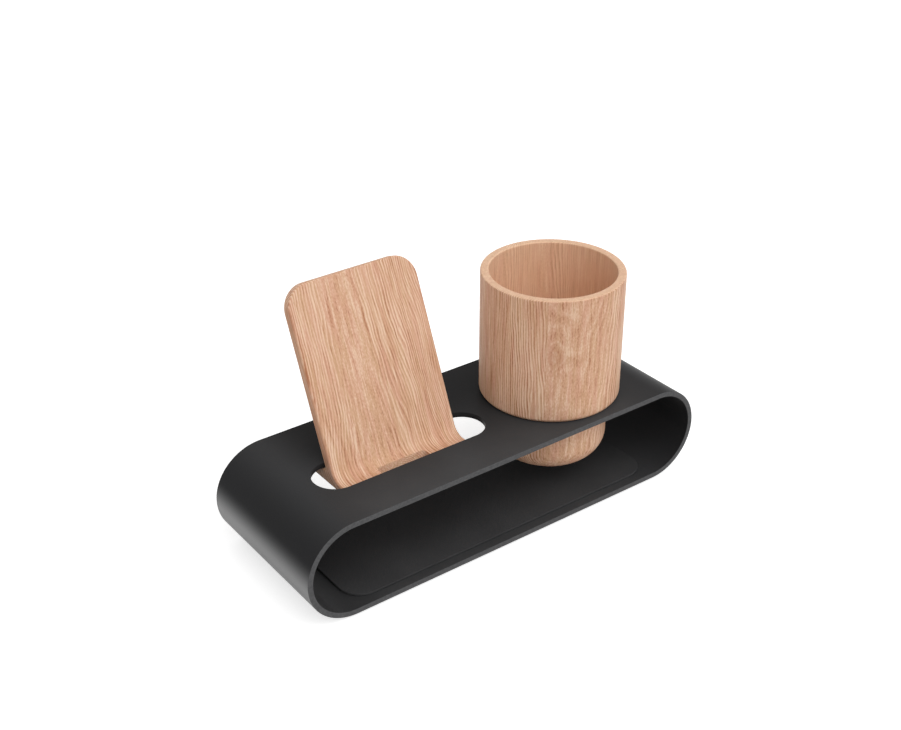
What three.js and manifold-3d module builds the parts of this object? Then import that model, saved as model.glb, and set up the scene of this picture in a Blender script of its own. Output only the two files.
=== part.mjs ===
// Pen and phone stand: a black loop of bent sheet with a turned wooden cup dropped through its top
// and a wooden phone cradle screwed under a slot beside it.
// Millimetres, +Z up, front at -Y. The origin is on the table, in the middle of the footprint.

import * as THREE from 'three';
import { mergeVertices, toCreasedNormals } from 'three/addons/utils/BufferGeometryUtils.js';
import Module from 'manifold-3d';

const wasm = await Module();
wasm.setup();

// The cup: a wide turned body standing on a shoulder, with a narrower plug below it
const cup_radius = 38;
const cup_rise = 70.8;
const cup_wall = 4.5;
const cup_rim_round = 0.8;
const shoulder_width = 6.2;
const shoulder_round = 2.5;
const plug_drop = 37.1;
const plug_round = 14;
const plug_floor = 5;
const step_height = 6;
const hole_clearance = 0.5;

// The phone cradle: a leaning panel, a cove, a ledge below the slot and a heel behind it
const cradle_width = 76;
const cradle_round = 1.2;
const panel_lean = 23.4;
const panel_thickness = 6;
const panel_reach = 89.4;
const panel_corner_radius = 13;
const ledge_drop = 6.15;
const ledge_thickness = 4.25;
const ledge_setback = 0.9;
const cove_radius = 8;
const heel_reach = 16;
const heel_gap = 0.3;
const notch_width = 29.3;
const notch_depth = 11.5;
const notch_corner_radius = 2;

// Room in the slot: for the phone in front of the panel, and beside and behind the panel
const phone_room = 17.8;
const panel_side_gap = 0.6;
const panel_gap = 0.3;

// The two countersunk screws that hold the cradle's heel under the sheet
const screw_inset = 13;
const screw_cover = 1.4;
const screw_radius = 1.75;
const screw_head_radius = 3.5;
const screw_head_rim = 0.3;
const screw_tip = 2;
const screw_gap = 0.3;
const socket_radius = 1.15;
const socket_depth = 1.2;

// The mat on the floor of the loop
const mat_thickness = 1.5;
const mat_margin = 5;
const mat_corner_radius = 13;
const mat_round = 0.4;

// The foot pads under the loop
const pad_height = 1;
const pad_radius = 6;
const pad_round = 0.3;
const pad_inset_x = 14;
const pad_inset_y = 12;

// The loop: one band of sheet bent round two half circles. Its flat top runs from the slot's
// margin to the cup's, and its inside holds the mat with the plug above it.
const sheet = 3;
const rim_round = 0.4;
const slot_margin = 2;
const slot_to_cup = 11.1;
const cup_margin = 5.1;
const shelf_depth = 26.6;
const cup_front_margin = 3.9;
const cup_back_margin = 9.1;
const plug_clearance = 12.4;

// One overrun for every cut, and the distance within which two corners are one
const overrun = 2;
const merge_distance = 0.0001;

// Counts. An arc of a Shape is drawn in twice its count of steps.
const turn_steps = 60;
const bend_steps = 12;
const hole_steps = 24;
const pad_steps = 10;
const corner_steps = 4;
const round_steps = 2;
const socket_sides = 6;

const quarter = Math.PI / 2;
const crease = Math.PI / 6;

// Sizes that follow from what the loop carries
const lean = THREE.MathUtils.degToRad(panel_lean);
const panel_step = panel_thickness / Math.cos(lean);
const plug_radius = cup_radius - shoulder_width;
const slot_width = phone_room + panel_step + panel_gap;
const slot_length = cradle_width + 2 * panel_side_gap + slot_width;
const flat_length = slot_margin + slot_length + slot_to_cup + 2 * cup_radius + cup_margin;
const loop_height = sheet + mat_thickness + plug_clearance + plug_drop;
const loop_length = flat_length + loop_height;
const loop_depth = cup_front_margin + 2 * cup_radius + cup_back_margin;

// Places that several pieces share
const floor_top = pad_height + sheet;
const top_face = pad_height + loop_height;
const top_under = top_face - sheet;
const slot_x = slot_margin + (slot_length - flat_length) / 2;
const slot_front = shelf_depth - loop_depth / 2;
const slot_rear = slot_front + slot_width;
const cup_x = flat_length / 2 - cup_margin - cup_radius;
const cup_y = cup_front_margin + cup_radius - loop_depth / 2;
const ledge_top = top_face - ledge_drop;
const ledge_under = ledge_top - ledge_thickness;

const black_sheet = new THREE.MeshStandardMaterial({ color: 0x2b2b2c, roughness: 0.55, metalness: 0.1 });
const black_mat = new THREE.MeshStandardMaterial({ color: 0x222223, roughness: 0.85, metalness: 0 });
const pad_rubber = new THREE.MeshStandardMaterial({ color: 0x1a1a1a, roughness: 0.9, metalness: 0 });
const cup_wood = new THREE.MeshStandardMaterial({ color: 0xc59a78, roughness: 0.6, metalness: 0 });
const cradle_wood = new THREE.MeshStandardMaterial({ color: 0xb88d6c, roughness: 0.6, metalness: 0 });
const screw_steel = new THREE.MeshStandardMaterial({ color: 0x1d1d1e, roughness: 0.4, metalness: 0.8 });

// A closed geometry as a solid that can be cut. Triangles that a lathe folds flat at its axis go.
function solid_of(geometry) {
  const bare = geometry.clone();
  bare.deleteAttribute('normal');
  bare.deleteAttribute('uv');
  const merged = mergeVertices(bare, merge_distance);
  const corners = merged.index.array;
  const kept = [];
  for (let i = 0; i < corners.length; i += 3) {
    const [a, b, c] = corners.slice(i, i + 3);
    if (a !== b && b !== c && c !== a) {
      kept.push(a, b, c);
    }
  }
  const vertProperties = new Float32Array(merged.attributes.position.array);
  return new wasm.Manifold(new wasm.Mesh({ numProp: 3, vertProperties, triVerts: new Uint32Array(kept) }));
}

function geometry_of(solid) {
  const mesh = solid.getMesh();
  const geometry = new THREE.BufferGeometry();
  geometry.setAttribute('position', new THREE.BufferAttribute(mesh.vertProperties, 3));
  geometry.setIndex(new THREE.BufferAttribute(mesh.triVerts, 1));
  return geometry;
}

// A geometry with each of the cutters taken out of it
function cut(geometry, cutters) {
  let solid = solid_of(geometry);
  for (const waste of cutters) {
    solid = solid.subtract(solid_of(waste));
  }
  return geometry_of(solid);
}

// Adds the points of an arc from one angle to another to a turned outline
function add_arc(points, centre_r, centre_z, radius, from, to, steps) {
  for (let i = 0; i <= steps; i += 1) {
    const angle = from + (to - from) * (i / steps);
    points.push(new THREE.Vector2(centre_r + radius * Math.cos(angle), centre_z + radius * Math.sin(angle)));
  }
}

// Turns an outline of radius and height about +Z
function turned(points) {
  const geometry = new THREE.LatheGeometry(points, turn_steps);
  return geometry.rotateX(quarter);
}

// A rectangle with round corners, centred on the origin
function round_rectangle(length, width, radius) {
  const shape = new THREE.Shape();
  const x = length / 2 - radius;
  const y = width / 2 - radius;
  shape.moveTo(-x, -y - radius);
  shape.lineTo(x, -y - radius);
  shape.absarc(x, -y, radius, -quarter, 0);
  shape.lineTo(x + radius, y);
  shape.absarc(x, y, radius, 0, quarter);
  shape.lineTo(-x, y + radius);
  shape.absarc(-x, y, radius, quarter, 2 * quarter);
  shape.lineTo(-x - radius, -y);
  shape.absarc(-x, -y, radius, 2 * quarter, 3 * quarter);
  return shape;
}

// A long hole or band outline with half-round ends, as a Shape or as a Path for a hole
function round_ended(path, length, width) {
  const radius = width / 2;
  const x = length / 2 - radius;
  path.moveTo(-x, -radius);
  path.lineTo(x, -radius);
  path.absarc(x, 0, radius, -quarter, quarter);
  path.lineTo(-x, radius);
  path.absarc(-x, 0, radius, quarter, 3 * quarter);
  return path;
}

// A straight extrusion whose edges are rounded inside its outline and its height
function rounded_slab(shape, height, edge, curve_steps) {
  const geometry = new THREE.ExtrudeGeometry(shape, {
    depth: height - 2 * edge,
    bevelEnabled: true,
    bevelThickness: edge,
    bevelSize: edge,
    bevelOffset: -edge,
    bevelSegments: round_steps,
    curveSegments: curve_steps,
  });
  return geometry.translate(0, 0, edge);
}

// A cutter that runs from one height to another, past both by the overrun
function cutter(shape, from, to, curve_steps) {
  const depth = to - from + 2 * overrun;
  const geometry = new THREE.ExtrudeGeometry(shape, { depth, bevelEnabled: false, curveSegments: curve_steps });
  return geometry.translate(0, 0, from - overrun);
}

// Screw: a countersunk head, a shank and a blunt point that stops short of the heel's underside.
// Its top is at height zero, and a gap makes the outline of its hole.
function screw_outline(gap) {
  const cone_drop = screw_head_radius - screw_radius;
  const screw_length = ledge_drop + ledge_thickness - screw_cover;
  const points = [];
  points.push(new THREE.Vector2(0, -screw_length - gap));
  points.push(new THREE.Vector2(screw_radius / 2 + gap, -screw_length - gap));
  points.push(new THREE.Vector2(screw_radius + gap, -screw_length + screw_tip - gap));
  points.push(new THREE.Vector2(screw_radius + gap, -screw_head_rim - cone_drop - gap));
  points.push(new THREE.Vector2(screw_head_radius + gap, -screw_head_rim - gap));
  return points;
}

function screw_geometry() {
  const points = screw_outline(0);
  points.push(new THREE.Vector2(screw_head_radius, 0));
  points.push(new THREE.Vector2(0, 0));
  const socket = new THREE.CylinderGeometry(socket_radius, socket_radius, socket_depth + overrun, socket_sides);
  socket.rotateX(quarter);
  socket.translate(0, 0, overrun / 2 - socket_depth / 2);
  return cut(turned(points), [socket]);
}

// The hole that a screw goes through, with its gap all round and open above
function screw_hole() {
  const points = screw_outline(screw_gap);
  points.push(new THREE.Vector2(screw_head_radius + screw_gap, overrun));
  points.push(new THREE.Vector2(0, overrun));
  return turned(points);
}

const screw_y = slot_rear + heel_reach / 2;
const screw_offset = cradle_width / 2 - screw_inset;
const screw_places = [slot_x - screw_offset, slot_x + screw_offset];

function screw_holes() {
  return screw_places.map((x) => screw_hole().translate(x, screw_y, top_face));
}

// Loop: the band's outline is extruded from back to front, then its top is cut for the cup,
// the slot and the two screws
function loop_geometry() {
  const outline = round_ended(new THREE.Shape(), loop_length, loop_height);
  const inner_length = loop_length - 2 * sheet;
  const inner_height = loop_height - 2 * sheet;
  outline.holes.push(round_ended(new THREE.Path(), inner_length, inner_height));
  const band = rounded_slab(outline, loop_depth, rim_round, bend_steps);
  band.rotateX(quarter);
  band.translate(0, loop_depth / 2, pad_height + loop_height / 2);

  const hole_radius = plug_radius + hole_clearance;
  const hole_outline = new THREE.Shape().absarc(0, 0, hole_radius, 0, 4 * quarter);
  const hole = cutter(hole_outline, top_under, top_face, hole_steps);
  hole.translate(cup_x, cup_y, 0);
  const slot_outline = round_ended(new THREE.Shape(), slot_length, slot_width);
  const slot = cutter(slot_outline, top_under, top_face, bend_steps);
  slot.translate(slot_x, slot_front + slot_width / 2, 0);
  return cut(band, [hole, slot, ...screw_holes()]);
}

// Foot pad: a disc with a slightly rounded edge, face to face with the loop
function pad_geometry() {
  const outline = new THREE.Shape().absarc(0, 0, pad_radius, 0, 4 * quarter);
  return rounded_slab(outline, pad_height, pad_round, pad_steps);
}

// Mat: as long as the flat floor of the loop, with large round corners
function mat_geometry() {
  const outline = round_rectangle(flat_length, loop_depth - 2 * mat_margin, mat_corner_radius);
  return rounded_slab(outline, mat_thickness, mat_round, corner_steps);
}

// Cup: turned outline from the middle of the plug's underside, round the outside, over the rim,
// and down the stepped bore to the floor. Height zero is the shoulder that rests on the loop.
function cup_geometry() {
  const bore_radius = cup_radius - cup_wall;
  const well_radius = plug_radius - cup_wall;
  const well_round = plug_round - cup_wall;
  const well_floor = plug_floor - plug_drop;
  const step_round = shoulder_width / 2;
  const points = [new THREE.Vector2(0, -plug_drop)];
  add_arc(points, plug_radius - plug_round, plug_round - plug_drop, plug_round, -quarter, 0, 2 * corner_steps);
  points.push(new THREE.Vector2(plug_radius, 0));
  add_arc(points, cup_radius - shoulder_round, shoulder_round, shoulder_round, -quarter, 0, round_steps);
  add_arc(points, cup_radius - cup_rim_round, cup_rise - cup_rim_round, cup_rim_round, 0, quarter, round_steps);
  add_arc(points, bore_radius + cup_rim_round, cup_rise - cup_rim_round, cup_rim_round, quarter, 2 * quarter,
    round_steps);
  add_arc(points, bore_radius - step_round, step_height + step_round, step_round, 0, -quarter, round_steps);
  points.push(new THREE.Vector2(well_radius, step_height));
  add_arc(points, well_radius - well_round, well_floor + well_round, well_round, 0, -quarter, 2 * corner_steps);
  points.push(new THREE.Vector2(0, well_floor));
  return turned(points);
}

// The depth of the panel's rear face at a height
function panel_rear_at(z) {
  return slot_rear - panel_gap + (z - top_face) * Math.tan(lean);
}

// Cradle foot: a side profile of depth and height, with the ledge in front, the heel behind, and a
// cove that rises into the panel's front face. Its upper edge is buried in the panel.
function foot_profile(edge) {
  const heel_top = top_under - heel_gap;
  const heel_rear = slot_rear + heel_reach;
  const ledge_front = slot_front + ledge_setback;
  const cove_run = cove_radius * Math.tan((quarter - lean) / 2);
  const cove_y = panel_rear_at(ledge_top) - panel_step - cove_run;
  const cove_z = ledge_top + cove_radius;
  const cove_end = cove_z - cove_radius * Math.sin(lean);

  const profile = new THREE.Shape();
  profile.moveTo(ledge_front, ledge_under);
  profile.lineTo(heel_rear, ledge_under);
  profile.lineTo(heel_rear, heel_top);
  profile.lineTo(panel_rear_at(heel_top) - edge, heel_top);
  profile.lineTo(panel_rear_at(cove_end) - edge, cove_end);
  profile.absarc(cove_y, cove_z, cove_radius, -lean, -quarter, true);
  profile.lineTo(ledge_front, ledge_top);
  return profile;
}

function foot_geometry(edge) {
  const slab = rounded_slab(foot_profile(edge), cradle_width, edge, corner_steps);
  const along_depth = new THREE.Vector3(0, 1, 0);
  const along_height = new THREE.Vector3(0, 0, 1);
  const along_width = new THREE.Vector3(1, 0, 0);
  slab.applyMatrix4(new THREE.Matrix4().makeBasis(along_depth, along_height, along_width));
  return slab.translate(-cradle_width / 2, 0, 0);
}

// Cradle panel: a board with two round upper corners, whose lower edge is buried in the foot
function panel_geometry(edge) {
  const x = cradle_width / 2;
  const corner_x = x - panel_corner_radius;
  const corner_s = panel_reach - panel_corner_radius;
  const start = -(ledge_drop + ledge_thickness / 2) / Math.cos(lean);
  const shape = new THREE.Shape();
  shape.moveTo(-x, start);
  shape.lineTo(x, start);
  shape.lineTo(x, corner_s);
  shape.absarc(corner_x, corner_s, panel_corner_radius, 0, quarter);
  shape.lineTo(-corner_x, panel_reach);
  shape.absarc(-corner_x, corner_s, panel_corner_radius, quarter, 2 * quarter);

  const across = new THREE.Vector3(1, 0, 0);
  const up_panel = new THREE.Vector3(0, Math.sin(lean), Math.cos(lean));
  const out_of_panel = new THREE.Vector3(0, -Math.cos(lean), Math.sin(lean));
  const place = new THREE.Matrix4().makeBasis(across, up_panel, out_of_panel);
  place.setPosition(0, panel_rear_at(top_face), top_face);
  return rounded_slab(shape, panel_thickness, edge, corner_steps).applyMatrix4(place);
}

// The cable notch: a bite out of the front of the ledge with small rounded inner corners
function notch_cutter() {
  const length = notch_depth + notch_corner_radius + overrun;
  const shape = round_rectangle(notch_width, length, notch_corner_radius);
  const geometry = cutter(shape, ledge_under, ledge_top, corner_steps);
  const rear = slot_front + ledge_setback + notch_depth;
  return geometry.translate(0, rear - length / 2, 0);
}

function cradle_geometry() {
  const edge = Math.min(cradle_round, ledge_thickness / 3, panel_thickness / 3);
  const joined = solid_of(foot_geometry(edge)).add(solid_of(panel_geometry(edge)));
  const holes = screw_holes().map((hole) => hole.translate(-slot_x, 0, 0));
  return cut(geometry_of(joined), [notch_cutter(), ...holes]);
}

// Assembly: each piece is one named mesh
const pen_and_phone_stand = new THREE.Group();

function add_piece(name, geometry, material, x, y, z) {
  const piece = new THREE.Mesh(toCreasedNormals(geometry, crease), material);
  piece.name = name;
  piece.position.set(x, y, z);
  pen_and_phone_stand.add(piece);
}

add_piece('loop_base', loop_geometry(), black_sheet, 0, 0, 0);
add_piece('floor_mat', mat_geometry(), black_mat, 0, 0, floor_top);
add_piece('pen_cup', cup_geometry(), cup_wood, cup_x, cup_y, top_face);
add_piece('phone_cradle', cradle_geometry(), cradle_wood, slot_x, 0, 0);

const screw_names = ['cradle_screw_left', 'cradle_screw_right'];
screw_names.forEach((name, i) => {
  add_piece(name, screw_geometry(), screw_steel, screw_places[i], screw_y, top_face);
});

const pad_x = flat_length / 2 - pad_inset_x;
const pad_y = loop_depth / 2 - pad_inset_y;
for (const [end, x] of [['left', -pad_x], ['right', pad_x]]) {
  for (const [side, y] of [['front', -pad_y], ['back', pad_y]]) {
    add_piece(`foot_pad_${side}_${end}`, pad_geometry(), pad_rubber, x, y, 0);
  }
}

export default pen_and_phone_stand;
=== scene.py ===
import math

import bmesh
import bpy
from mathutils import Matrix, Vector


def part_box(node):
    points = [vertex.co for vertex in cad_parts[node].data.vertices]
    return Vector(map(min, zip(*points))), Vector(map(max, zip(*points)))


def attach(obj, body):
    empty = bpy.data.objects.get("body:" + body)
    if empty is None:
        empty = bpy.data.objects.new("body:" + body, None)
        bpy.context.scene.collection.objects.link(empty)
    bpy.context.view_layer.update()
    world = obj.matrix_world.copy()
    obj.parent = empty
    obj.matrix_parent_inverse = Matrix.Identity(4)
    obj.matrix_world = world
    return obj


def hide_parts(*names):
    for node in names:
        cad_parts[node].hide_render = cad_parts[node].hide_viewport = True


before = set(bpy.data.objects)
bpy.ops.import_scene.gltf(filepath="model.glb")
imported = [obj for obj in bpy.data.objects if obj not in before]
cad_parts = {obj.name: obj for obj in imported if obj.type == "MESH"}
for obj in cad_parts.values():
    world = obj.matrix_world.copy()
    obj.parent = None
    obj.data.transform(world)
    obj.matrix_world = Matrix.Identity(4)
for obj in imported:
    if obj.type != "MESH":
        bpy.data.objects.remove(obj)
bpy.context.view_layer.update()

# The view
# A long lens from the front left, a little above, with the whole stand near the middle.
VIEW_AZIMUTH = math.radians(-36.594)
VIEW_ELEVATION = math.radians(29.507)
VIEW_DISTANCE = 0.706
VIEW_TARGET = Vector((-0.00954, 0, 0.08912))
VIEW_LENS_MM = 55.49
VIEW_NEAR = 0.01
VIEW_FAR = 50

lens = bpy.data.cameras.new("view")
lens.lens = VIEW_LENS_MM
lens.clip_start = VIEW_NEAR
lens.clip_end = VIEW_FAR
camera = bpy.data.objects.new("view", lens)
bpy.context.scene.collection.objects.link(camera)
back = Vector((
    math.sin(VIEW_AZIMUTH) * math.cos(VIEW_ELEVATION),
    -math.cos(VIEW_AZIMUTH) * math.cos(VIEW_ELEVATION),
    math.sin(VIEW_ELEVATION),
))
camera.location = VIEW_TARGET + back * VIEW_DISTANCE
camera.rotation_mode = "QUATERNION"
camera.rotation_quaternion = (-back).to_track_quat("-Z", "Y")
bpy.context.scene.camera = camera


# The loop
# One band of 3 mm sheet metal, bent round two half circles and joined out of sight. A round hole
# for the cup, a long slot for the cradle and two countersinks are cut in its flat top. It has a
# fine black powder coat, and its cut rims are rubbed down to a slightly greyer edge. Light and
# shade are painted into the coat: paler at the front, darker behind, darker down the bends, a
# painted shadow of the cup on the right end, and painted shade inside.
MM = 1000
SHEET = 0.003
RIM_ROUND = 0.0004
HOLE_EDGE = 0.0003
HOLE_CLEARANCE = 0.0005
PLUG_RADIUS = 0.0318
LEDGE_ROOM = 0.0178
PANEL_SIDE_GAP = 0.0006
PANEL_GAP = 0.0003
PANEL_LEAN = math.radians(23.4)
PANEL_THICKNESS = 0.006
LEDGE_SETBACK = 0.0009
HEEL_REACH = 0.016
SCREW_INSET = 0.013
SCREW_RADIUS = 0.00175
SCREW_HEAD_RADIUS = 0.0035
SCREW_HEAD_RIM = 0.0003
SCREW_GAP = 0.0003
OVERRUN = 0.002
MERGE = 1e-7
CUT_MERGE = 3e-6
SHARP_ANGLE = math.radians(35)
BEND_STEPS = 64
HOLE_STEPS = 48
EDGE_STEPS = 3

loop_low, loop_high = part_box("loop_base")
cup_low, cup_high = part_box("pen_cup")
cradle_low, cradle_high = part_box("phone_cradle")
TOP_FACE = loop_high.z
TOP_UNDER = TOP_FACE - SHEET
cup_centre = Vector(((cup_low.x + cup_high.x) / 2, (cup_low.y + cup_high.y) / 2, TOP_FACE))
cradle_x = (cradle_low.x + cradle_high.x) / 2
cradle_half = (cradle_high.x - cradle_low.x) / 2
slot_front = cradle_low.y - LEDGE_SETBACK
slot_width = LEDGE_ROOM + PANEL_THICKNESS / math.cos(PANEL_LEAN) + PANEL_GAP
slot_rear = slot_front + slot_width
screw_y = slot_rear + HEEL_REACH / 2
screw_places = [cradle_x - cradle_half + SCREW_INSET, cradle_x + cradle_half - SCREW_INSET]


def arc(centre_a, centre_b, radius, start, end, steps):
    """Points of an arc in a plane, with both its ends; the angles are in degrees."""
    points = []
    for i in range(steps + 1):
        angle = math.radians(start + (end - start) * i / steps)
        points.append((centre_a + radius * math.cos(angle), centre_b + radius * math.sin(angle)))
    return points


def new_piece(name, bm):
    """Makes an object of a bmesh, with merged corners and its faces pointing out."""
    bmesh.ops.remove_doubles(bm, verts=bm.verts, dist=MERGE)
    bmesh.ops.recalc_face_normals(bm, faces=bm.faces)
    mesh = bpy.data.meshes.new(name)
    bm.to_mesh(mesh)
    bm.free()
    piece = bpy.data.objects.new(name, mesh)
    bpy.context.scene.collection.objects.link(piece)
    return piece


def rings_piece(name, rings):
    """A closed solid that runs through rings of points, flat at both ends."""
    bm = bmesh.new()
    rows = [[bm.verts.new(point) for point in ring] for ring in rings]
    for low, high in zip(rows, rows[1:]):
        for i in range(len(low)):
            j = (i + 1) % len(low)
            bm.faces.new((low[i], low[j], high[j], high[i]))
    bm.faces.new(rows[0])
    bm.faces.new(rows[-1])
    return new_piece(name, bm)


def long_ring(x, y, z, half_run, radius):
    """A level ring with half-round ends; a half run of nothing makes it a circle."""
    right = arc(x + half_run, y, radius, -90, 90, HOLE_STEPS)
    left = arc(x - half_run, y, radius, 90, 270, HOLE_STEPS)
    return [Vector((a, b, z)) for a, b in right + left]


def hole_cutter(x, y, half_run, radius):
    """What is cut away for a hole in the top, with softly rounded upper and lower edges."""
    lower = arc(radius + HOLE_EDGE, TOP_UNDER + HOLE_EDGE, HOLE_EDGE, 270, 180, EDGE_STEPS)
    upper = arc(radius + HOLE_EDGE, TOP_FACE - HOLE_EDGE, HOLE_EDGE, 180, 90, EDGE_STEPS)
    wide = radius + HOLE_EDGE
    levels = [(wide, TOP_UNDER - OVERRUN), *lower, *upper, (wide, TOP_FACE + OVERRUN)]
    return rings_piece("hole_cutter", [long_ring(x, y, z, half_run, r) for r, z in levels])


def screw_cutter(x, deep):
    """The countersunk hole of a screw, open above and as deep as asked."""
    shank = SCREW_RADIUS + SCREW_GAP
    head = SCREW_HEAD_RADIUS + SCREW_GAP
    head_under = TOP_FACE - SCREW_HEAD_RIM - SCREW_GAP
    levels = [
        (shank, TOP_FACE - deep),
        (shank, head_under - (head - shank)),
        (head, head_under),
        (head, TOP_FACE + OVERRUN),
    ]
    return rings_piece("screw_cutter", [long_ring(x, screw_y, z, 0, r) for r, z in levels])


def apply_changes(piece):
    """Turns a piece's modifiers into its mesh."""
    bpy.context.view_layer.update()
    shape = piece.evaluated_get(bpy.context.evaluated_depsgraph_get())
    mesh = bpy.data.meshes.new_from_object(shape)
    piece.modifiers.clear()
    piece.data = mesh


def carve(piece, cutters):
    """Cuts the cutters out of a piece, and merges the slivers that the cuts leave."""
    for cutter in cutters:
        cut = piece.modifiers.new("cut", "BOOLEAN")
        cut.operation = "DIFFERENCE"
        cut.solver = "MANIFOLD"
        cut.object = cutter
    apply_changes(piece)
    for cutter in cutters:
        bpy.data.objects.remove(cutter)
    bm = bmesh.new()
    bm.from_mesh(piece.data)
    bmesh.ops.remove_doubles(bm, verts=bm.verts, dist=CUT_MERGE)
    bmesh.ops.dissolve_degenerate(bm, edges=bm.edges, dist=CUT_MERGE)
    bm.to_mesh(piece.data)
    bm.free()


def smooth(piece):
    """Smooth shading that stays crisp at edges and flat on large faces."""
    piece.data.shade_smooth()
    piece.data.set_sharp_from_angle(angle=SHARP_ANGLE)
    even = piece.modifiers.new("even", "WEIGHTED_NORMAL")
    even.keep_sharp = True
    apply_changes(piece)


def wear(piece, material, slot, body, *nodes):
    """Gives a piece its material and its place in the frame."""
    piece.data.materials.clear()
    piece.data.materials.append(material)
    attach(piece, body)
    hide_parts(*nodes)


def loop_stations():
    """The middle line of the band, as points with their outward directions, all the way round."""
    radius = (loop_high.z - loop_low.z) / 2
    middle = radius - SHEET / 2
    z = (loop_low.z + loop_high.z) / 2
    stations = []
    for x, start in ((loop_high.x - radius, -90), (loop_low.x + radius, 90)):
        for i in range(BEND_STEPS + 1):
            angle = math.radians(start + 180 * i / BEND_STEPS)
            out = Vector((math.cos(angle), 0, math.sin(angle)))
            stations.append((Vector((x, 0, z)) + out * middle, out))
    return stations


def band_section():
    """The band's cross-section: across the sheet and along the depth, with rounded corners."""
    a = SHEET / 2 - RIM_ROUND
    b = loop_high.y - RIM_ROUND
    return (
        arc(a, b, RIM_ROUND, 0, 90, EDGE_STEPS)
        + arc(-a, b, RIM_ROUND, 90, 180, EDGE_STEPS)
        + arc(-a, -b, RIM_ROUND, 180, 270, EDGE_STEPS)
        + arc(a, -b, RIM_ROUND, 270, 360, EDGE_STEPS)
    )


def loop_piece():
    bm = bmesh.new()
    section = band_section()
    rows = []
    for point, out in loop_stations():
        rows.append([bm.verts.new(point + out * a + Vector((0, b, 0))) for a, b in section])
    for k, row in enumerate(rows):
        following = rows[(k + 1) % len(rows)]
        for i in range(len(section)):
            j = (i + 1) % len(section)
            bm.faces.new((row[i], row[j], following[j], following[i]))
    piece = new_piece("black_loop", bm)
    slot_half_run = cradle_half + PANEL_SIDE_GAP
    cutters = [
        hole_cutter(cup_centre.x, cup_centre.y, 0, PLUG_RADIUS + HOLE_CLEARANCE),
        hole_cutter(cradle_x, slot_front + slot_width / 2, slot_half_run, slot_width / 2),
    ]
    cutters += [screw_cutter(x, SHEET + OVERRUN) for x in screw_places]
    carve(piece, cutters)
    smooth(piece)
    return piece


def tone(red, green, blue):
    """A colour as it looks on a screen, from 0 to 255, as the shader's linear colour."""
    linear = []
    for part in (red, green, blue):
        share = part / 255
        linear.append(share / 12.92 if share <= 0.04045 else ((share + 0.055) / 1.055) ** 2.4)
    return (*linear, 1)


class Wire:
    """A node's output. Arithmetic on wires and numbers adds Math nodes to the finish."""

    def __init__(self, finish, socket):
        self.finish = finish
        self.socket = socket

    def math(self, operation, *values):
        return self.finish.node("Math", {"operation": operation}, dict(enumerate(values)))

    def __add__(self, other):
        return self.math("ADD", self, other)

    def __radd__(self, other):
        return self.math("ADD", other, self)

    def __sub__(self, other):
        return self.math("SUBTRACT", self, other)

    def __rsub__(self, other):
        return self.math("SUBTRACT", other, self)

    def __mul__(self, other):
        return self.math("MULTIPLY", self, other)

    def __rmul__(self, other):
        return self.math("MULTIPLY", other, self)

    def __truediv__(self, other):
        return self.math("DIVIDE", self, other)

    def __rtruediv__(self, other):
        return self.math("DIVIDE", other, self)

    def __pow__(self, other):
        return self.math("POWER", self, other)

    def __rpow__(self, other):
        return self.math("POWER", other, self)

    def __abs__(self):
        return self.math("ABSOLUTE", self)


class Finish:
    """The nodes of a material, or of the world."""

    def __init__(self, owner):
        owner.use_nodes = True
        self.owner = owner
        self.tree = owner.node_tree
        self.tree.nodes.clear()

    def node(self, kind, settings, inputs, output=0):
        """Adds a node, sets it, fills or links its inputs, and gives one of its outputs."""
        made = self.tree.nodes.new("ShaderNode" + kind)
        for key, value in settings.items():
            setattr(made, key, value)
        for key, value in inputs.items():
            if isinstance(value, Wire):
                self.tree.links.new(value.socket, made.inputs[key])
            else:
                made.inputs[key].default_value = value
        return Wire(self, made.outputs[output]) if made.outputs else None

    def place(self):
        """The place on the piece, in millimetres, as three wires."""
        place = self.node("TexCoord", {}, {}, "Object")
        return [self.node("SeparateXYZ", {}, {0: place}, i) * MM for i in range(3)]

    def join(self, x, y, z):
        return self.node("CombineXYZ", {}, {0: x, 1: y, 2: z})

    def noise(self, x, y, z, detail=2.0, roughness=0.5, shift=0.0):
        """Soft noise about 0, mostly from -1 to 1, with a grain of about one unit."""
        inputs = {"Vector": self.join(x + shift, y, z), "Scale": 1.0, "Detail": detail}
        inputs["Roughness"] = roughness
        return (self.node("TexNoise", {}, inputs) - 0.5) * 3

    def grain(self, place, size, detail):
        """Noise with a grain of one size, in millimetres, in every direction."""
        x, y, z = [part / size for part in place]
        return self.noise(x, y, z, detail)

    def ramp(self, value, low, high):
        """0 below the low value, 1 above the high one, and smooth between them."""
        inputs = {"Value": value, "From Min": low, "From Max": high}
        return self.node("MapRange", {"interpolation_type": "SMOOTHSTEP"}, inputs)

    def mix(self, share, first, second):
        """The first colour where the share is 0, and the second where it is 1."""
        return self.node("Mix", {"data_type": "RGBA"}, {0: share, 6: first, 7: second}, 2)

    def bump(self, height, depth):
        """A normal from a height of 0 to 1 that stands for a depth in metres."""
        return self.node("Bump", {}, {"Height": height, "Distance": depth, "Strength": 1.0})

    def done(self, inputs):
        """Sets the main shader and gives the material."""
        surface = self.node("BsdfPrincipled", {}, inputs)
        self.node("OutputMaterial", {}, {"Surface": surface})
        return self.owner


def new_finish(name):
    return Finish(bpy.data.materials.new(name))


# Painted light and shade: the coat's front tones are paler than its rear ones
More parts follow.
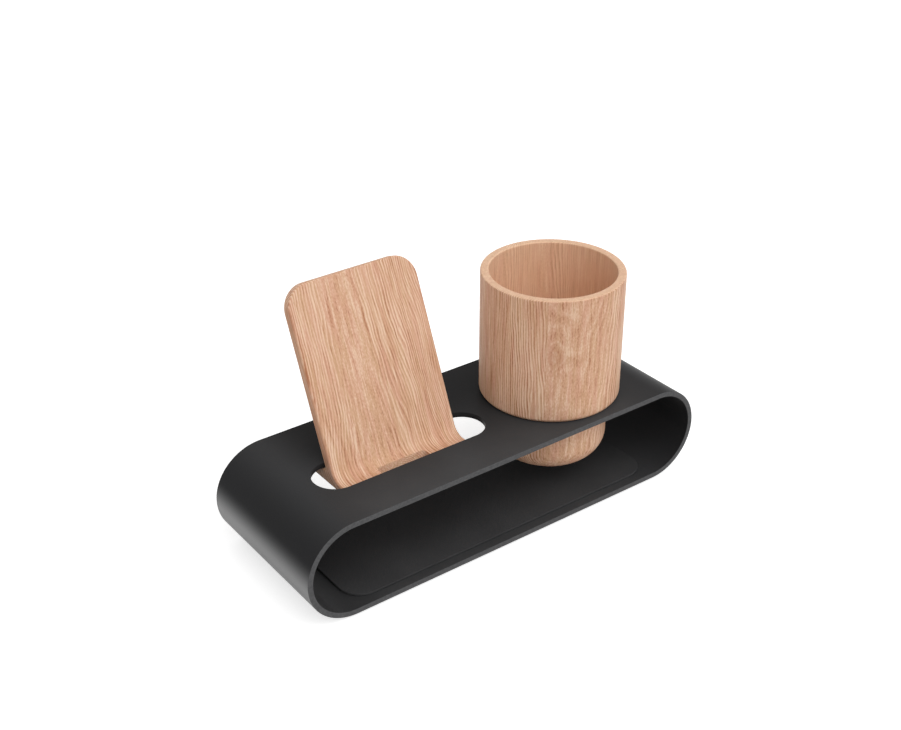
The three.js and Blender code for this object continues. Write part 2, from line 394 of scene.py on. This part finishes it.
COAT_FRONT_PAINTED_LIGHT = (tone(69, 69, 70), tone(75, 75, 76))
COAT_REAR_PAINTED_SHADE = (tone(33, 33, 34), tone(38, 38, 39))
# Painted shade: the bends are painted darker towards the bottom
COAT_BEND_PAINTED_LIGHT = tone(60, 60, 61)
COAT_BEND_PAINTED_SHADE = tone(42, 42, 43)
# Painted shadow of the cup on the right end
COAT_RIGHT_PAINTED_SHADOW = tone(28, 28, 29)
# Painted shade inside the loop
COAT_INSIDE_PAINTED_SHADE = tone(24, 24, 25)
COAT_SPECKLE = tone(70, 70, 71)
COAT_RUBBED = (tone(83, 83, 84), tone(96, 96, 97))
COAT_CLOUD_SIZE = 38
COAT_SPECKLE_SIZE = 1 / 2.6
ORANGE_PEEL_SIZE = 1.3
ORANGE_PEEL_DEPTH = 0.00002
# Where the coat's painted light and shade change, in millimetres: in depth, from the start of a bend,
# to the right
PAINTED_LIGHT_DEPTH_FADE = (-50, 22)
BEND_FADE = (-24, 8)
BEND_PAINTED_SHADE_FADE = (2, 26)
RIGHT_PAINTED_SHADOW_FADE = (50, 88)
RIGHT_PAINTED_SHADOW_SHARE = 0.4
SPECKLE_SHARE = 0.25
COAT_SHINE = 0.03
COAT_SHEEN = 0.06
SATIN_ROUGHNESS = 0.3
SATIN_IOR = 2.0


def powder_coat():
    finish = new_finish("black_powder_coat")
    place = finish.place()
    x, y, z = place
    cloud = finish.grain(place, COAT_CLOUD_SIZE, 3.0)
    speckle = finish.grain(place, COAT_SPECKLE_SIZE, 1.0)
    orange_peel = finish.grain(place, ORANGE_PEEL_SIZE, 2.0)
    # Where on the band: on its cut rim, past the start of a bend, and outside or inside
    depth = loop_high.y * MM
    rim = finish.ramp(abs(y), depth - 0.36, depth - 0.05)
    bend_radius = (loop_high.z - loop_low.z) / 2 * MM
    bend_start = loop_high.x * MM - bend_radius
    past = finish.node("Math", {"operation": "MAXIMUM"}, {0: abs(x) - bend_start, 1: 0})
    above = z - (loop_low.z + loop_high.z) / 2 * MM
    from_bend = (past * past + above * above) ** 0.5
    outside = finish.ramp(from_bend, bend_radius - 1.8, bend_radius - 1)
    # Painted light and shade: the front is painted paler than the back, the bends darker towards the
    # bottom, the right end darker for the cup's shadow, and the inside darker for its shade
    cloudy = finish.ramp(cloud, -0.7, 0.7)
    front = finish.mix(cloudy, *COAT_FRONT_PAINTED_LIGHT)
    rear = finish.mix(cloudy, *COAT_REAR_PAINTED_SHADE)
    bend = finish.mix(finish.ramp(past, *BEND_PAINTED_SHADE_FADE), COAT_BEND_PAINTED_LIGHT, COAT_BEND_PAINTED_SHADE)
    body = finish.mix(finish.ramp(y, *PAINTED_LIGHT_DEPTH_FADE), front, rear)
    body = finish.mix(finish.ramp(abs(x) - bend_start, *BEND_FADE), body, bend)
    body = finish.mix(finish.ramp(x, *RIGHT_PAINTED_SHADOW_FADE) * outside * RIGHT_PAINTED_SHADOW_SHARE, body, COAT_RIGHT_PAINTED_SHADOW)
    body = finish.mix((1 - outside) * (0.2 + finish.ramp(past, 0, 10) * 0.1), body, COAT_INSIDE_PAINTED_SHADE)
    body = finish.mix(finish.ramp(speckle, 0.3, 1.1) * SPECKLE_SHARE, body, COAT_SPECKLE)
    rubbed = finish.mix(finish.ramp(orange_peel, -0.9, 0.9), *COAT_RUBBED)
    # The bends keep their satin gloss outside, where they face down; hands have dulled the rest
    normal = finish.node("TexCoord", {}, {}, "Normal")
    upward = finish.node("SeparateXYZ", {}, {0: normal}, "Z")
    facing = finish.node("LayerWeight", {}, {"Blend": 0.5}, "Facing")
    on_bend = outside * finish.ramp(past, 0, 3) * (1 - rim)
    downward = 1 - finish.ramp(upward, -0.15, 0.45)
    return finish.done({
        "Base Color": finish.mix(rim, body, rubbed),
        "Roughness": 0.4 + cloud * 0.03 + speckle * 0.02 + rim * 0.1,
        "Specular IOR Level": COAT_SHINE,
        "Coat Weight": on_bend * downward * (1 - finish.ramp(facing, 0.5, 0.95) * 0.7),
        "Coat Roughness": SATIN_ROUGHNESS,
        "Coat IOR": SATIN_IOR,
        "Sheen Weight": COAT_SHEEN,
        "Sheen Roughness": SATIN_ROUGHNESS,
        "Normal": finish.bump(orange_peel * 0.5 + speckle * 0.25, ORANGE_PEEL_DEPTH),
    })


black_loop = loop_piece()
wear(black_loop, powder_coat(), "black_sheet", "stand", "loop_base")


# The mat
# A thin sheet of matt black rubber with round corners, stuck on the flat floor of the loop. Its
# edges are softly rounded and its face has a fine pebbled grain.
MAT_CORNER_RADIUS = 0.013
MAT_ROUND = 0.0004
MAT_CORNER_STEPS = 16
# Painted light and shade: the mat's front tones are paler than its rear ones
MAT_FRONT_PAINTED_LIGHT = (tone(62, 62, 63), tone(69, 69, 70))
MAT_REAR_PAINTED_SHADE = (tone(37, 37, 38), tone(43, 43, 44))
MAT_PEBBLE = tone(80, 80, 81)
MAT_CLOUD_SIZE = 30
MAT_PAINTED_SHADE_FADE = (-54, 16)
PEBBLE_SIZE = 0.55
PEBBLE_DEPTH = 0.00006
MAT_SHINE = 0.04

mat_low, mat_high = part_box("floor_mat")


def slab_ring(low, high, corner, inset, z, steps):
    """A level rectangle with round corners, drawn in by an inset."""
    radius = corner - inset
    left, right = low.x + corner, high.x - corner
    front, rear = low.y + corner, high.y - corner
    outline = (
        arc(right, front, radius, -90, 0, steps)
        + arc(right, rear, radius, 0, 90, steps)
        + arc(left, rear, radius, 90, 180, steps)
        + arc(left, front, radius, 180, 270, steps)
    )
    return [Vector((a, b, z)) for a, b in outline]


def mat_piece():
    lower = arc(MAT_ROUND, mat_low.z + MAT_ROUND, MAT_ROUND, 270, 180, EDGE_STEPS)
    upper = arc(MAT_ROUND, mat_high.z - MAT_ROUND, MAT_ROUND, 180, 90, EDGE_STEPS)
    rings = []
    for inset, z in lower + upper:
        rings.append(slab_ring(mat_low, mat_high, MAT_CORNER_RADIUS, inset, z, MAT_CORNER_STEPS))
    piece = rings_piece("rubber_mat", rings)
    smooth(piece)
    return piece


def pebbled_rubber():
    finish = new_finish("pebbled_rubber")
    place = finish.place()
    cloud = finish.grain(place, MAT_CLOUD_SIZE, 3.0)
    pebble = finish.grain(place, PEBBLE_SIZE, 2.0)
    # Painted light and shade: the front of the mat is painted paler and the rear darker
    cloudy = finish.ramp(cloud, -0.8, 0.8)
    front = finish.mix(cloudy, *MAT_FRONT_PAINTED_LIGHT)
    rear = finish.mix(cloudy, *MAT_REAR_PAINTED_SHADE)
    body = finish.mix(finish.ramp(place[1], *MAT_PAINTED_SHADE_FADE), front, rear)
    return finish.done({
        "Base Color": finish.mix(finish.ramp(pebble, 0.1, 1.0) * 0.2, body, MAT_PEBBLE),
        "Roughness": 0.66 + pebble * 0.04 + cloud * 0.03,
        "Specular IOR Level": MAT_SHINE,
        "Normal": finish.bump(pebble * 0.5, PEBBLE_DEPTH),
    })


rubber_mat = mat_piece()
wear(rubber_mat, pebbled_rubber(), "black_mat", "stand", "floor_mat")


# The cup
# Turned from two glued blocks of pale hardwood with upright grain, then sanded and oiled. It
# stands on its shoulder on the loop's top, and the plug below, with a large round lower edge,
# hangs through the hole. The bore is wide above and narrower inside the plug.
CUP_WALL = 0.0045
CUP_RIM_ROUND = 0.0008
SHOULDER_ROUND = 0.0025
PLUG_ROUND = 0.014
PLUG_FLOOR = 0.005
STEP_HEIGHT = 0.006
WOOD_PALE = tone(243, 210, 182)
WOOD_YELLOW = tone(218, 173, 138)
WOOD_ROSY = tone(221, 170, 142)
WOOD_DARK = tone(178, 119, 86)
WOOD_PORE = tone(150, 92, 58)
# Painted light for the bore and the rim
WOOD_PAINTED_LIGHT = tone(255, 217, 182)
# The figure of the wood: widths across the grain and lengths along it, in millimetres
WANDER_SIZE = (30, 80)
RIPPLE_SIZE = (12, 30)
WAVER_SIZE = (3, 11)
FIBRE_SIZE = (1 / 1.3, 16)
FLECK_SIZE = (1 / 1.9, 1.4)
PORE_SIZE = (0.5, 3)
STREAK_SIZE = (2.2, 50)
BLUSH_SIZE = (3, 26)
RING_WIDTH = 1.05
RING_TAPER = 0.04
RING_WANDER = 4
PORE_DEPTH = 0.00003
OIL_SHINE = 0.14
CUP_CONTRAST = 1.1
PITH_REACH = 55
PITH_TURNS = (math.radians(105), math.radians(62))
GLUE_LINE = -4.7
GLUE_HALF = 0.3
BLOCK_SHIFT = 37
KNOT_TURN = math.radians(-127)
KNOT_HEIGHT = 94
KNOT_SPREAD = (4.5, 8)
KNOT_PUSH = 2.2
TURN_STEPS = 192
ROUND_STEPS = 6
PLUG_ROUND_STEPS = 20

cup_radius = (cup_high.x - cup_low.x) / 2


def turned_piece(name, outline, x, y, steps):
    """A solid turned about an upright line, from an outline that starts and ends on that line."""
    bm = bmesh.new()
    first = bm.verts.new((x, y, outline[0][1]))
    last = bm.verts.new((x, y, outline[-1][1]))
    rows = []
    turns = [2 * math.pi * k / steps for k in range(steps)]
    for radius, z in outline[1:-1]:
        ring = [(x + radius * math.cos(t), y + radius * math.sin(t), z) for t in turns]
        rows.append([bm.verts.new(point) for point in ring])
    for i in range(steps):
        j = (i + 1) % steps
        bm.faces.new((first, rows[0][j], rows[0][i]))
        bm.faces.new((last, rows[-1][i], rows[-1][j]))
        for low, high in zip(rows, rows[1:]):
            bm.faces.new((low[i], low[j], high[j], high[i]))
    return new_piece(name, bm)


def cup_piece():
    bore = cup_radius - CUP_WALL
    well = PLUG_RADIUS - CUP_WALL
    well_round = PLUG_ROUND - CUP_WALL
    step_round = (cup_radius - PLUG_RADIUS) / 2
    bottom, shoulder = cup_low.z, TOP_FACE
    step = shoulder + STEP_HEIGHT
    floor = bottom + PLUG_FLOOR
    rim = cup_high.z - CUP_RIM_ROUND
    # Up the outside from the plug, over the rim and down the bore
    rounds = [
        (PLUG_RADIUS - PLUG_ROUND, bottom + PLUG_ROUND, PLUG_ROUND, -90, 0, PLUG_ROUND_STEPS),
        (cup_radius - SHOULDER_ROUND, shoulder + SHOULDER_ROUND, SHOULDER_ROUND, -90, 0, ROUND_STEPS),
        (cup_radius - CUP_RIM_ROUND, rim, CUP_RIM_ROUND, 0, 90, ROUND_STEPS),
        (bore + CUP_RIM_ROUND, rim, CUP_RIM_ROUND, 90, 180, ROUND_STEPS),
        (bore - step_round, step + step_round, step_round, 0, -90, ROUND_STEPS),
        (well - well_round, floor + well_round, well_round, 0, -90, PLUG_ROUND_STEPS),
    ]
    plug_edge, shoulder_edge, outer_rim, inner_rim, step_edge, well_edge = [arc(*r) for r in rounds]
    outline = [
        (0, bottom), *plug_edge, (PLUG_RADIUS, shoulder), *shoulder_edge, *outer_rim,
        *inner_rim, *step_edge, (well, step), *well_edge, (0, floor),
    ]
    piece = turned_piece("turned_cup", outline, cup_centre.x, cup_centre.y, TURN_STEPS)
    smooth(piece)
    return piece


def wood(finish, across, through, along, pith, swirl, facing, contrast):
    """Solid wood as a colour, a roughness and a normal. Across, through and along the grain are
    wires in millimetres. The pith is a place across and through, a swirl pushes the rings, facing
    says which way the face looks, across and through, and contrast is that of the ring lines."""
    def figure(size, push=0.0, **settings):
        width, length = size
        return finish.noise(across / width + push, through / width, along / length, **settings)

    wander = figure(WANDER_SIZE)
    ripple = figure(RIPPLE_SIZE, shift=7.3)
    waver = figure(WAVER_SIZE, shift=2.9)
    push = ripple * 0.9 + waver * 0.2 + swirl
    a = across - pith[0] + wander * RING_WANDER
    b = through - pith[1]
    radius = (a * a + b * b) ** 0.5
    turns = (radius + along * RING_TAPER + push) / RING_WIDTH
    # Ring lines are faint where the rings lie flat in the face, and where they stand square to it
    flatness = abs((a * facing[0] + b * facing[1]) / radius)
    flat = finish.ramp(flatness, 0.82, 0.99)
    growth = finish.node("Math", {"operation": "FRACT"}, {0: turns})
    pale_line = finish.ramp(growth, 0.0, 0.22) * (1 - finish.ramp(growth, 0.22, 0.5))
    dark_line = finish.ramp(growth, 0.5, 0.85) * (1 - finish.ramp(growth, 0.85, 1.0))
    strength = 0.75 + finish.noise(turns * 0.43, across / 25, along / 40, shift=3.1) * 0.75
    clear = strength * finish.ramp(flatness, 0.1, 0.55) * (1 - flat * 0.7)
    lines = (pale_line * 0.55 - dark_line * 0.45) * clear * contrast
    # Long fibres, short flecks, open pores and broad streaks run along the grain
    fibre = figure(FIBRE_SIZE, push, roughness=0.65)
    fleck = figure(FLECK_SIZE, detail=1.0, shift=8.8)
    pore = finish.ramp(figure(PORE_SIZE, detail=1.0, shift=11.0), 0.35, 0.9)
    streak = figure(STREAK_SIZE, push * 0.4, shift=5.5)
    blush = figure(BLUSH_SIZE, shift=14.0)
    grain = fibre * 0.45 + fleck * (0.14 + flat * 0.2)
    lightness = 0.5 + streak * (0.38 - flat * 0.14) + grain + lines
    middle = finish.mix(finish.ramp(blush, -0.6, 0.6), WOOD_YELLOW, WOOD_ROSY)
    colour = finish.mix(finish.ramp(lightness, -0.2, 0.5), WOOD_DARK, middle)
    colour = finish.mix(finish.ramp(lightness, 0.4, 1.1), colour, WOOD_PALE)
    colour = finish.mix(pore * 0.3, colour, WOOD_PORE)
    roughness = 0.54 + fibre * 0.04 + pore * 0.12 - dark_line * 0.04
    normal = finish.bump(0.5 + fibre * 0.15 - pore * 0.5 + lines * 0.1, PORE_DEPTH)
    return colour, roughness, normal


def oiled(finish, colour, roughness, normal):
    """The finish of bare wood that has soaked up oil."""
    return finish.done({
        "Base Color": colour,
        "Roughness": roughness,
        "Specular IOR Level": OIL_SHINE,
        "Normal": normal,
    })


def cup_wood():
    finish = new_finish("turned_hardwood")
    x, y, z = finish.place()
    across = x - cup_centre.x * MM
    through = y - cup_centre.y * MM
    # The rings run round a small knot that faces front left
    aside = through * math.cos(KNOT_TURN) - across * math.sin(KNOT_TURN)
    towards = across * math.cos(KNOT_TURN) + through * math.sin(KNOT_TURN)
    off_aside = aside / KNOT_SPREAD[0]
    off_along = (z - KNOT_HEIGHT) / KNOT_SPREAD[1]
    nearness = -1 * (off_aside * off_aside + off_along * off_along)
    knot = finish.node("Math", {"operation": "EXPONENT"}, {0: nearness}) * finish.ramp(towards, 0, 10)
    # The two blocks meet in an upright plane a little left of the knot
    block = finish.ramp(aside, GLUE_LINE - 0.04, GLUE_LINE + 0.04)
    left_of_glue = 1 - finish.ramp(aside, GLUE_LINE, GLUE_LINE + GLUE_HALF)
    glue = finish.ramp(aside, GLUE_LINE - GLUE_HALF, GLUE_LINE) * left_of_glue
    shift = block * BLOCK_SHIFT
    left, right = [(PITH_REACH * math.cos(t), PITH_REACH * math.sin(t)) for t in PITH_TURNS]
    pith = [block * (right[0] - left[0]) + left[0] + shift, block * (right[1] - left[1]) + left[1]]
    from_axis = (across * across + through * through) ** 0.5
    facing = (across / from_axis, through / from_axis)
    colour, roughness, normal = wood(
        finish, across + shift, through, z, pith, knot * KNOT_PUSH, facing, CUP_CONTRAST)
    speck = finish.ramp(finish.noise(across / 1.2, through / 1.2, z / 0.7, shift=1.7), 0.5, 0.9)
    colour = finish.mix(knot * 0.35 + glue * 0.25, colour, WOOD_DARK)
    colour = finish.mix(knot * knot * speck * 0.6, colour, WOOD_PORE)
    # Painted light: the bore and the rim are painted paler, for the light that falls into the bore
    # and onto the rim
    bore, shoulder, rim = (cup_radius - CUP_WALL) * MM, TOP_FACE * MM, cup_high.z * MM
    above_shoulder = finish.ramp(z, shoulder, shoulder + 2)
    in_bore = (1 - finish.ramp(from_axis, bore + 0.2, bore + 0.7)) * above_shoulder
    on_rim = finish.ramp(z, rim - 0.5, rim - 0.1)
    colour = finish.mix(in_bore * 0.45, colour, WOOD_PAINTED_LIGHT)
    colour = finish.mix(on_rim * 0.42, colour, WOOD_PAINTED_LIGHT)
    return oiled(finish, colour, roughness, normal)


turned_cup = cup_piece()
wear(turned_cup, cup_wood(), "cup_wood", "cup", "pen_cup")


# The cradle
# One shaped piece of the same pale hardwood. Its panel leans back out of the slot, a cove runs from
# its face into a level ledge under the sheet, and a heel behind it takes the screws. The ledge has
# a notch for a charging cable, and every edge is sanded round. The grain follows the bend.
LEDGE_THICKNESS = 0.00425
PANEL_CORNER_RADIUS = 0.013
COVE_RADIUS = 0.008
HEEL_GAP = 0.0003
NOTCH_WIDTH = 0.0293
NOTCH_DEPTH = 0.0115
NOTCH_CORNER_RADIUS = 0.002
NOTCH_ROUND = 0.0004
CRADLE_ROUND = 0.0012
SCREW_COVER = 0.0014
COVE_STEPS = 9
CORNER_STEPS = 20
SAND_ANGLE = math.radians(40)
CRADLE_PITH = (-9, 30)
CRADLE_CONTRAST = 0.8

ledge_under = cradle_low.z
ledge_top = ledge_under + LEDGE_THICKNESS
ledge_front = cradle_low.y
heel_rear = slot_rear + HEEL_REACH
heel_top = TOP_UNDER - HEEL_GAP
up_panel = Vector((0, math.sin(PANEL_LEAN), math.cos(PANEL_LEAN)))
out_of_panel = Vector((0, -math.cos(PANEL_LEAN), math.sin(PANEL_LEAN)))
panel_rear = Vector((cradle_x, slot_rear - PANEL_GAP, TOP_FACE))
# The panel's rounded upper front edge touches the top of the cradle's box
edge_rise = CRADLE_ROUND * (1 - math.cos(PANEL_LEAN) - math.sin(PANEL_LEAN))
face_rise = PANEL_THICKNESS * math.sin(PANEL_LEAN)
panel_reach = (cradle_high.z - TOP_FACE - face_rise - edge_rise) / math.cos(PANEL_LEAN)


def panel_rear_at(z):
    return panel_rear.y + (z - TOP_FACE) * math.tan(PANEL_LEAN)


cove_y = (
    panel_rear_at(ledge_top)
    - PANEL_THICKNESS / math.cos(PANEL_LEAN)
    - COVE_RADIUS * math.tan((math.pi / 2 - PANEL_LEAN) / 2)
)
cove_z = ledge_top + COVE_RADIUS


def cradle_side():
    """The side outline of the cradle, as depth and height."""
    top_rear = panel_rear + up_panel * panel_reach
    top_front = top_rear + out_of_panel * PANEL_THICKNESS
    return [
        (ledge_front, ledge_under),
        (heel_rear, ledge_under),
        (heel_rear, heel_top),
        (panel_rear_at(heel_top), heel_top),
        (top_rear.y, top_rear.z),
        (top_front.y, top_front.z),
        *arc(cove_y, cove_z, COVE_RADIUS, -math.degrees(PANEL_LEAN), -90, COVE_STEPS),
        (ledge_front, ledge_top),
    ]


def corner_cutter(side):
    """The waste outside one round upper corner of the panel."""
    across = cradle_half - PANEL_CORNER_RADIUS
    up = panel_reach - PANEL_CORNER_RADIUS
    outline = arc(across, up, PANEL_CORNER_RADIUS, 90, 0, CORNER_STEPS)
    outline += [
        (cradle_half + OVERRUN, up),
        (cradle_half + OVERRUN, panel_reach + OVERRUN),
        (across, panel_reach + OVERRUN),
    ]
    rings = []
    for out in (-OVERRUN, PANEL_THICKNESS + OVERRUN):
        start = panel_rear + out_of_panel * out
        rings.append([start + Vector((side * a, 0, 0)) + up_panel * s for a, s in outline])
    return rings_piece("corner_cutter", rings)


def notch_cutter():
    low = Vector((cradle_x - NOTCH_WIDTH / 2, ledge_front - OVERRUN - NOTCH_CORNER_RADIUS, 0))
    high = Vector((cradle_x + NOTCH_WIDTH / 2, ledge_front + NOTCH_DEPTH, 0))
    rings = []
    for z in (ledge_under - OVERRUN, ledge_top + OVERRUN):
        rings.append(slab_ring(low, high, NOTCH_CORNER_RADIUS, 0, z, ROUND_STEPS))
    return rings_piece("notch_cutter", rings)


def sand(piece, width, steps, reach=None):
    """Rounds a piece's sharp edges. With a reach in depth, it rounds only those of the notch."""
    bm = bmesh.new()
    bm.from_mesh(piece.data)
    edges = [edge for edge in bm.edges if edge.calc_face_angle(0) > SAND_ANGLE]
    if reach is not None:
        across = NOTCH_WIDTH / 2 + CRADLE_ROUND
        edges = [edge for edge in edges if all(
            abs(v.co.x - cradle_x) < across and v.co.y < reach for v in edge.verts)]
    bmesh.ops.bevel(
        bm, geom=edges, offset=width, offset_type="OFFSET", segments=steps, profile=0.5,
        affect="EDGES", clamp_overlap=False)
    bm.to_mesh(piece.data)
    bm.free()


def cradle_piece():
    rings = []
    for x in (cradle_low.x, cradle_high.x):
        rings.append([Vector((x, y, z)) for y, z in cradle_side()])
    piece = rings_piece("shaped_cradle", rings)
    carve(piece, [corner_cutter(1), corner_cutter(-1)])
    sand(piece, CRADLE_ROUND, ROUND_STEPS)
    carve(piece, [notch_cutter()])
    sand(piece, NOTCH_ROUND, EDGE_STEPS, ledge_front + NOTCH_DEPTH + CRADLE_ROUND)
    screw_deep = TOP_FACE - ledge_under - SCREW_COVER + SCREW_GAP
    carve(piece, [screw_cutter(x, screw_deep) for x in screw_places])
    smooth(piece)
    return piece


def cradle_wood():
    finish = new_finish("shaped_hardwood")
    x, y, z = finish.place()
    # The grain runs down the panel, round the cove and out along the ledge
    from_centre_y = y - cove_y * MM
    from_centre_z = z - cove_z * MM
    radius = COVE_RADIUS * MM
    sine, cosine = math.sin(PANEL_LEAN), math.cos(PANEL_LEAN)
    up = from_centre_y * sine + from_centre_z * cosine
    behind = from_centre_y * cosine - from_centre_z * sine
    on_panel = finish.ramp(up, -0.01, 0.01)
    on_ledge = 1 - finish.ramp(from_centre_y, -0.01, 0.01)
    on_cove = (1 - on_panel) * (1 - on_ledge)
    reach = (from_centre_y * from_centre_y + from_centre_z * from_centre_z) ** 0.5
    turn = finish.node("Math", {"operation": "ARCTAN2"}, {0: from_centre_y, 1: -1 * from_centre_z})
    full_turn = math.pi / 2 - PANEL_LEAN
    down_panel = up + full_turn * radius
    along = on_panel * down_panel + on_cove * (turn * radius) + on_ledge * from_centre_y
    depth = on_panel * behind + on_cove * reach - on_ledge * from_centre_z
    across = x - cradle_x * MM
    # Painted shade: the panel's sides are painted darker for the shade on them, and their ring lines
    # are softer
    side = cradle_half * MM
    shaded_side = finish.ramp(abs(across), side - 0.9, side - 0.1) * finish.ramp(up, 0, 8)
    colour, roughness, normal = wood(
        finish, across, depth, along, CRADLE_PITH, 0.0, (0, 1), CRADLE_CONTRAST - shaded_side * 0.4)
    colour = finish.mix(shaded_side * 0.35, colour, WOOD_DARK)
    return oiled(finish, colour, roughness, normal)


shaped_cradle = cradle_piece()
wear(shaped_cradle, cradle_wood(), "cradle_wood", "stand", "phone_cradle")


# The screws
# Two countersunk steel screws behind the panel, blacked, with a six-sided socket. They go through
# the sheet into the cradle's heel and pull it up against the underside.
SCREW_TIP = 0.002
SOCKET_RADIUS = 0.00115
SOCKET_DEPTH = 0.0012
SOCKET_SIDES = 6
SCREW_STEPS = 48
HEAD_EDGE = 0.0002
STEEL_DARK = tone(38, 38, 40)
STEEL_LIGHT = tone(58, 58, 60)
STEEL_CLOUD_SIZE = 1.5
STEEL_GRAIN_SIZE = 1 / 6
STEEL_GRAIN_DEPTH = 0.000005


def screw_piece(name, x):
    bottom = ledge_under + SCREW_COVER
    head_under = TOP_FACE - SCREW_HEAD_RIM
    cone_under = head_under - (SCREW_HEAD_RADIUS - SCREW_RADIUS)
    outline = [
        (0, bottom),
        (SCREW_RADIUS / 2, bottom),
        (SCREW_RADIUS, bottom + SCREW_TIP),
        (SCREW_RADIUS, cone_under),
        (SCREW_HEAD_RADIUS, head_under),
        *arc(SCREW_HEAD_RADIUS - HEAD_EDGE, TOP_FACE - HEAD_EDGE, HEAD_EDGE, 0, 90, EDGE_STEPS),
        (0, TOP_FACE),
    ]
    piece = turned_piece(name, outline, x, screw_y, SCREW_STEPS)
    corners = arc(x, screw_y, SOCKET_RADIUS, 0, 360 - 360 / SOCKET_SIDES, SOCKET_SIDES - 1)
    rings = []
    for z in (TOP_FACE - SOCKET_DEPTH, TOP_FACE + OVERRUN):
        rings.append([Vector((a, b, z)) for a, b in corners])
    carve(piece, [rings_piece("socket_cutter", rings)])
    smooth(piece)
    return piece


def blacked_steel():
    finish = new_finish("blacked_steel")
    place = finish.place()
    cloud = finish.grain(place, STEEL_CLOUD_SIZE, 3.0)
    grain = finish.grain(place, STEEL_GRAIN_SIZE, 1.0)
    return finish.done({
        "Base Color": finish.mix(finish.ramp(cloud, -0.8, 0.8), STEEL_DARK, STEEL_LIGHT),
        "Metallic": 1.0,
        "Roughness": 0.38 + cloud * 0.05 + grain * 0.03,
        "Normal": finish.bump(grain * 0.5, STEEL_GRAIN_DEPTH),
    })


steel = blacked_steel()
for side, x in zip(("left", "right"), screw_places):
    screw = screw_piece("steel_screw_" + side, x)
    wear(screw, steel, "screw_steel", "stand", "cradle_screw_" + side)


# The foot pads
# Four thin discs of black rubber, stuck under the flat of the loop so that it stands clear of the
# desk and doesn't slide.
PAD_ROUND = 0.0003
PAD_STEPS = 48
PAD_DARK = tone(28, 28, 28)
PAD_LIGHT = tone(40, 40, 40)
PAD_CLOUD_SIZE = 4
PAD_GRAIN_SIZE = 1 / 2.5
PAD_GRAIN_DEPTH = 0.00003


def pad_piece(name, low, high):
    radius = (high.x - low.x) / 2
    outline = [
        (0, low.z),
        *arc(radius - PAD_ROUND, low.z + PAD_ROUND, PAD_ROUND, -90, 0, EDGE_STEPS),
        *arc(radius - PAD_ROUND, high.z - PAD_ROUND, PAD_ROUND, 0, 90, EDGE_STEPS),
        (0, high.z),
    ]
    piece = turned_piece(name, outline, (low.x + high.x) / 2, (low.y + high.y) / 2, PAD_STEPS)
    smooth(piece)
    return piece


def pad_rubber():
    finish = new_finish("pad_rubber")
    place = finish.place()
    cloud = finish.grain(place, PAD_CLOUD_SIZE, 3.0)
    grain = finish.grain(place, PAD_GRAIN_SIZE, 1.0)
    return finish.done({
        "Base Color": finish.mix(finish.ramp(cloud, -0.8, 0.8), PAD_DARK, PAD_LIGHT),
        "Roughness": 0.8 + grain * 0.05,
        "Normal": finish.bump(grain * 0.5, PAD_GRAIN_DEPTH),
    })


rubber = pad_rubber()
for corner in ("front_left", "front_right", "back_left", "back_right"):
    pad = pad_piece("rubber_pad_" + corner, *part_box("foot_pad_" + corner))
    wear(pad, rubber, "pad_rubber", "stand", "foot_pad_" + corner)


# The stage
# A plain white floor under a white surround, with a broad soft lamp in front and a weaker one at
# the right. A lamp's place is its azimuth and elevation in degrees.
FLOOR_HALF = 6
FLOOR_GREY = 0.8
FLOOR_LIFT = 0.6
SURROUND_LIGHT = 0.5
KEY_PLACE = (-8, 50)
KEY_STRENGTH = 1.08
KEY_SPREAD = 50
FILL_PLACE = (50, 50)
FILL_STRENGTH = 0.45
FILL_SPREAD = 60


def background_rays(finish):
    """1 for rays that see the background: from the camera, off gloss and through glass."""
    seen = [finish.node("LightPath", {}, {}, kind) for kind in
            ("Is Camera Ray", "Is Glossy Ray", "Is Transmission Ray")]
    either = finish.node("Math", {"operation": "MAXIMUM"}, {0: seen[0], 1: seen[1]})
    return finish.node("Math", {"operation": "MAXIMUM"}, {0: either, 1: seen[2]})


def floor_piece():
    bm = bmesh.new()
    corners = [(-1, -1), (1, -1), (1, 1), (-1, 1)]
    bm.faces.new([bm.verts.new((FLOOR_HALF * a, FLOOR_HALF * b, 0)) for a, b in corners])
    piece = new_piece("floor", bm)
    finish = new_finish("white_floor")
    paint = finish.node("BsdfDiffuse", {}, {"Color": (FLOOR_GREY, FLOOR_GREY, FLOOR_GREY, 1)})
    glow = finish.node("Emission", {}, {"Strength": background_rays(finish) * FLOOR_LIFT})
    both = finish.node("AddShader", {}, {0: paint, 1: glow})
    finish.node("OutputMaterial", {}, {"Surface": both})
    piece.data.materials.append(finish.owner)


def soft_sun(name, azimuth, elevation, strength, spread):
    """A lamp far away that shines from a wide round patch of the sky; angles are in degrees."""
    light = bpy.data.lights.new(name, "SUN")
    light.energy = strength
    light.angle = math.radians(spread)
    lamp = bpy.data.objects.new(name, light)
    bpy.context.scene.collection.objects.link(lamp)
    a, e = math.radians(azimuth), math.radians(elevation)
    towards = Vector((math.sin(a) * math.cos(e), -math.cos(a) * math.cos(e), math.sin(e)))
    lamp.rotation_mode = "QUATERNION"
    lamp.rotation_quaternion = (-towards).to_track_quat("-Z", "Y")


floor_piece()
world = bpy.data.worlds.new("surround")
bpy.context.scene.world = world
surround = Finish(world)
seen = background_rays(surround)
strength = SURROUND_LIGHT + seen * (1 - SURROUND_LIGHT)
sky = surround.node("Background", {}, {"Color": (1, 1, 1, 1), "Strength": strength})
surround.node("OutputWorld", {}, {"Surface": sky})

soft_sun("key", *KEY_PLACE, KEY_STRENGTH, KEY_SPREAD)
soft_sun("fill", *FILL_PLACE, FILL_STRENGTH, FILL_SPREAD)

bpy.context.scene.view_settings.view_transform = "Standard"
